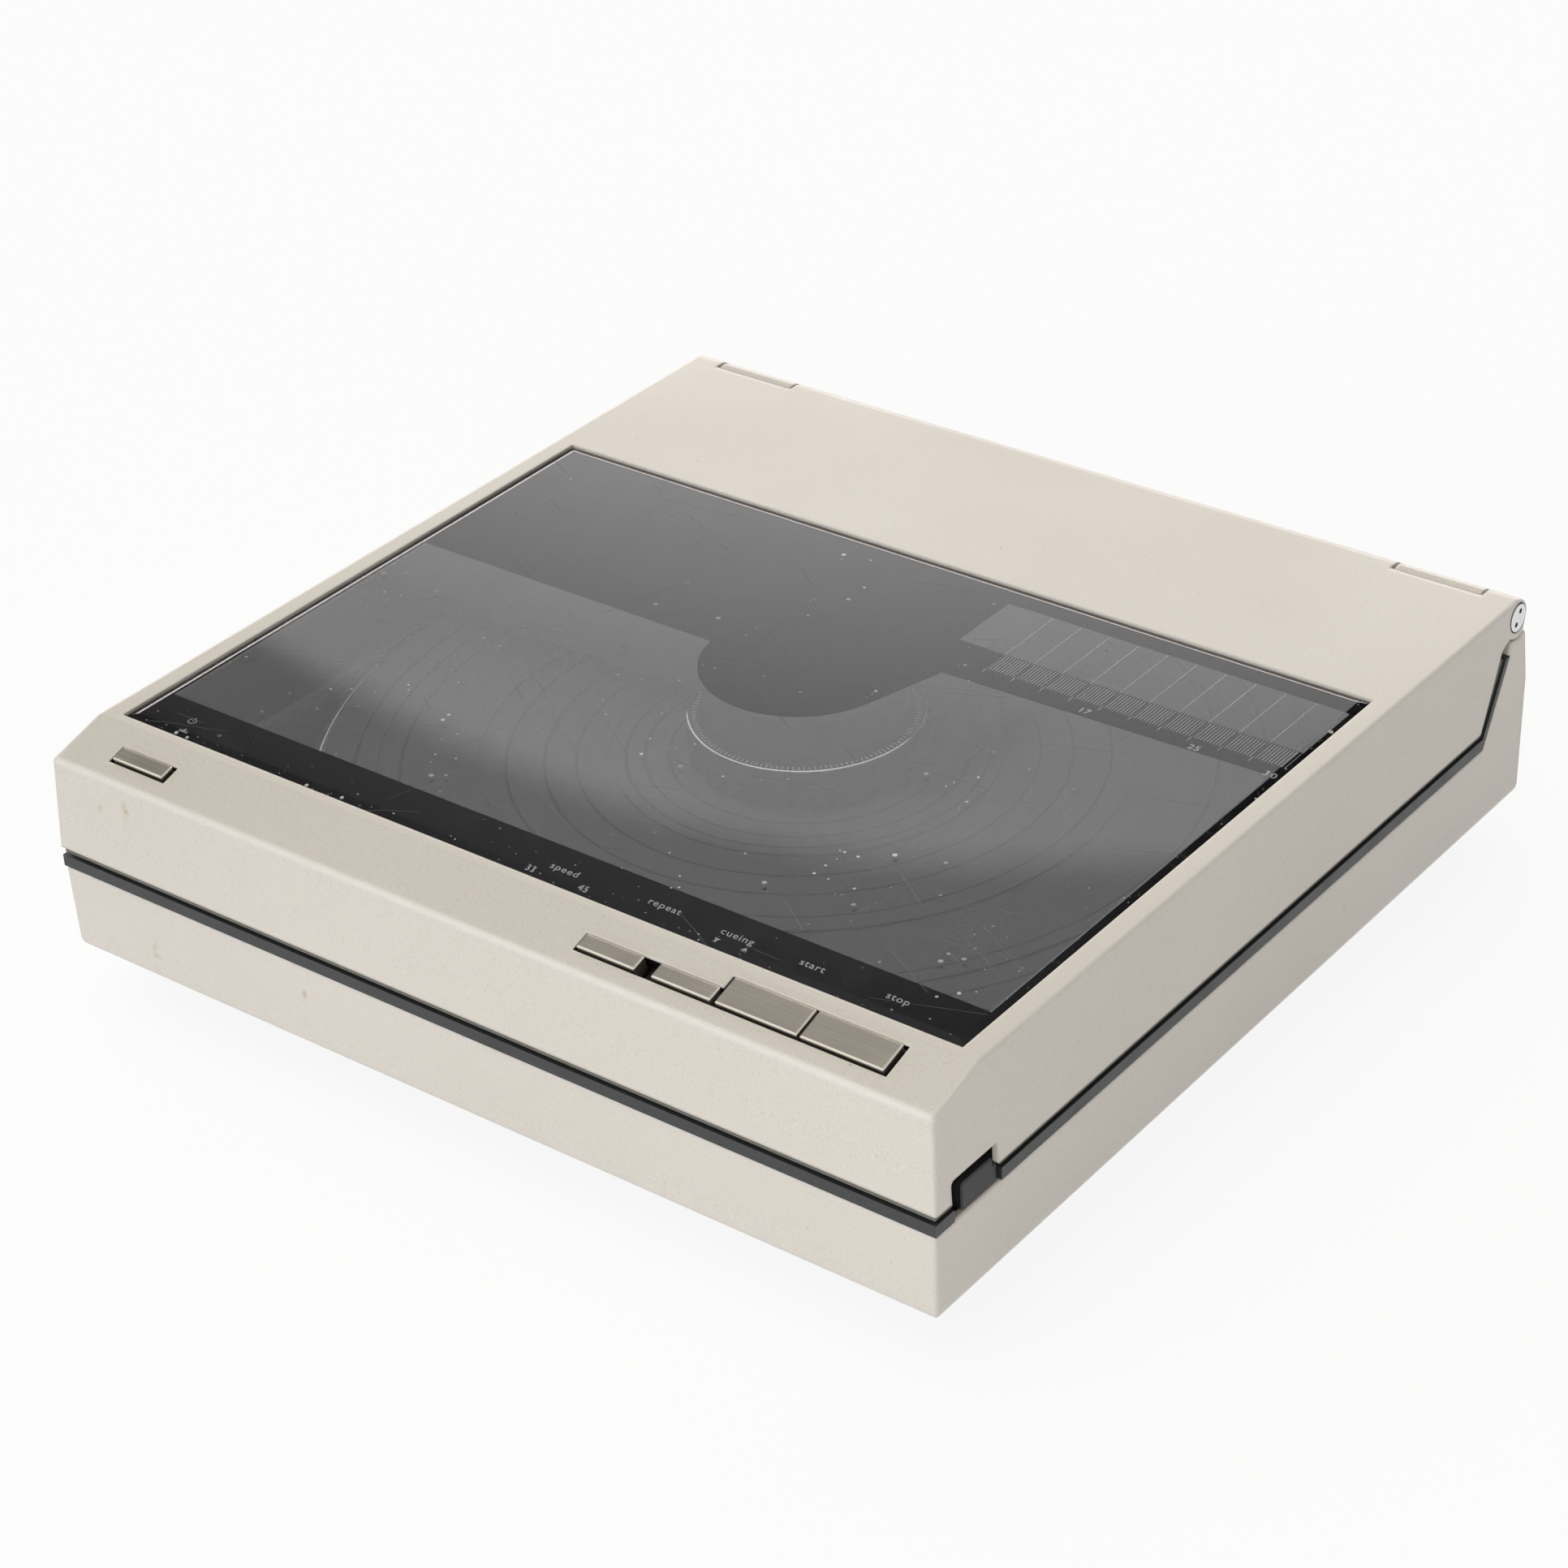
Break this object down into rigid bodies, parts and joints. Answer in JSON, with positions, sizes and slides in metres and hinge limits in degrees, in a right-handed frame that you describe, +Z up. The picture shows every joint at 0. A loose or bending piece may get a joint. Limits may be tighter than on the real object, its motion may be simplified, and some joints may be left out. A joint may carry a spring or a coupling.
{
  "type": "record player",
  "caption": "Low square record player with its arm in the hinged lid: windowed lid, sloping key strip, direct-drive platter, record clamp and side latch.",
  "frame": {"origin": "on the floor under the middle of the whole player, feet and rear terminal included", "axes": "+Z up, +X to the right of someone facing the keys, +Y to the back where the hinges are"},
  "size_m": [0.315, 0.315, 0.088],
  "materials": {
    "cream_paint": "cream paint over the casting, satin, slightly speckled",
    "dark_plastic": "dark grey, matt",
    "black_plastic": "black, fine satin",
    "clear_window": "clear, with a dark printed border",
    "brushed_steel": "brushed along the key, bright front edge",
    "chrome": "polished",
    "cast_aluminium": "machined, satin",
    "rubber": "black, matt",
    "steel": "ground",
    "zinc_plate": "zinc plated, dull",
    "circuit_board": "green-brown board",
    "magnet": "dark grey, dull",
    "cord": "braided",
    "copper": "wound coils under varnish"
  },
  "bodies": {
    "base": {"base_case": "cream_paint", "deck_frame": "dark_plastic", "deck_plate": "zinc_plate", "bottom_cover": "dark_plastic", "foot_front_left": "rubber", "foot_front_right": "rubber", "foot_back_left": "rubber", "foot_back_right": "rubber", "motor_stator": "copper", "main_board": "circuit_board", "transformer": "zinc_plate", "rear_panel": "black_plastic", "output_socket_left": "chrome", "output_socket_right": "chrome", "earth_terminal": "chrome", "power_inlet": "black_plastic"},
    "latch": {"latch_slide": "dark_plastic"},
    "turntable": {"platter": "cast_aluminium", "platter_mat": "rubber", "rotor_magnet": "magnet", "spindle": "steel"},
    "adapter": {"centre_adapter": "cast_aluminium"},
    "lid": {"lid_shell": "cream_paint", "window": "clear_window", "lid_skirt": "dark_plastic", "key_guide": "black_plastic", "key_board": "circuit_board", "key_cover": "dark_plastic", "mechanism_cover": "dark_plastic", "hinge_pin_left": "steel", "hinge_pin_right": "steel", "hinge_cap_left": "chrome", "hinge_cap_right": "chrome", "lid_catch": "steel", "clamp_housing": "black_plastic", "clamp_spring": "steel", "arm_rail": "steel", "guide_rail": "steel", "rail_bracket_left": "zinc_plate", "rail_bracket_right": "zinc_plate", "arm_motor": "zinc_plate", "wheel_axle": "steel", "idler_pin": "steel", "drive_belt": "rubber", "drive_cord": "cord"},
    "power_button": {"key_power": "brushed_steel"},
    "repeat_button": {"key_repeat": "brushed_steel"},
    "cueing_rocker": {"key_cueing": "brushed_steel"},
    "start_button": {"key_start": "brushed_steel"},
    "stop_button": {"key_stop": "brushed_steel"},
    "plunger": {"clamp_plunger": "black_plastic"},
    "clamp": {"clamp_disc": "black_plastic"},
    "carriage": {"arm_carriage": "black_plastic", "lift_solenoid": "zinc_plate"},
    "arm": {"tonearm": "cast_aluminium", "cartridge": "black_plastic", "stylus": "steel"},
    "cord_drum": {"drive_wheel": "black_plastic"},
    "idler": {"idler_pulley": "black_plastic"},
    "motor_shaft": {"motor_pulley": "steel"}
  },
  "joints": [
    {"name": "lid_hinge", "type": "hinge", "parent": "base", "child": "lid", "pos_m": [0, 0.1475, 0.0822], "axis": [-1, 0, 0], "range_deg": [0, 80]},
    {"name": "platter_spin", "type": "hinge", "parent": "base", "child": "turntable", "pos_m": [0, 0, 0.0535], "axis": [0, 0, 1], "continuous": true},
    {"name": "adapter_lift", "type": "slide", "parent": "turntable", "child": "adapter", "axis": [0, 0, 1], "range_m": [0, 0.003]},
    {"name": "latch_slide_travel", "type": "slide", "parent": "base", "child": "latch", "axis": [0, -1, 0], "range_m": [0, 0.004], "stiffness_N_per_m": 300, "springref_m": -0.003},
    {"name": "power_press", "type": "slide", "parent": "lid", "child": "power_button", "axis": [0, 0.2779, -0.9606], "range_m": [0, 0.0012], "stiffness_N_per_m": 400, "springref_m": -0.0015},
    {"name": "repeat_press", "type": "slide", "parent": "lid", "child": "repeat_button", "axis": [0, 0.2779, -0.9606], "range_m": [0, 0.0012], "stiffness_N_per_m": 400, "springref_m": -0.0015},
    {"name": "cueing_rock", "type": "hinge", "parent": "lid", "child": "cueing_rocker", "pos_m": [0.07115, -0.14653, 0.08307], "axis": [0, 0.9606, 0.2779], "range_deg": [-2.5, 2.5], "stiffness_Nm_per_rad": 0.03},
    {"name": "start_press", "type": "slide", "parent": "lid", "child": "start_button", "axis": [0, 0.2779, -0.9606], "range_m": [0, 0.0012], "stiffness_N_per_m": 400, "springref_m": -0.0015},
    {"name": "stop_press", "type": "slide", "parent": "lid", "child": "stop_button", "axis": [0, 0.2779, -0.9606], "range_m": [0, 0.0012], "stiffness_N_per_m": 400, "springref_m": -0.0015},
    {"name": "clamp_press", "type": "slide", "parent": "lid", "child": "plunger", "axis": [0, 0, 1], "range_m": [0, 0.0022], "stiffness_N_per_m": 800, "springref_m": -0.003, "deforming": ["clamp_spring"]},
    {"name": "clamp_spin", "type": "hinge", "parent": "plunger", "child": "clamp", "pos_m": [0, 0, 0.0645], "axis": [0, 0, 1], "continuous": true},
    {"name": "arm_travel", "type": "slide", "parent": "lid", "child": "carriage", "axis": [-1, 0, 0], "range_m": [0, 0.092]},
    {"name": "arm_drop", "type": "hinge", "parent": "carriage", "child": "arm", "pos_m": [0.1498, 0.104, 0.072], "axis": [1, 0, 0], "range_deg": [0, 2], "stiffness_Nm_per_rad": 0.05, "springref_deg": -9.17},
    {"name": "drum_spin", "type": "hinge", "parent": "lid", "child": "cord_drum", "pos_m": [-0.008, 0.1092, 0.0685], "axis": [0, 0, 1], "continuous": true},
    {"name": "idler_spin", "type": "hinge", "parent": "lid", "child": "idler", "pos_m": [0.139, 0.1092, 0.079], "axis": [0, 0, 1], "continuous": true},
    {"name": "motor_spin", "type": "hinge", "parent": "lid", "child": "motor_shaft", "pos_m": [-0.06, 0.1092, 0.0685], "axis": [0, 0, 1], "continuous": true}
  ],
  "couplings": [
    {"joint": "drum_spin", "follows": "arm_travel", "rad_per_m": 113.64},
    {"joint": "idler_spin", "follows": "arm_travel", "rad_per_m": 113.64},
    {"joint": "motor_spin", "follows": "arm_travel", "rad_per_m": 512.9}
  ]
}
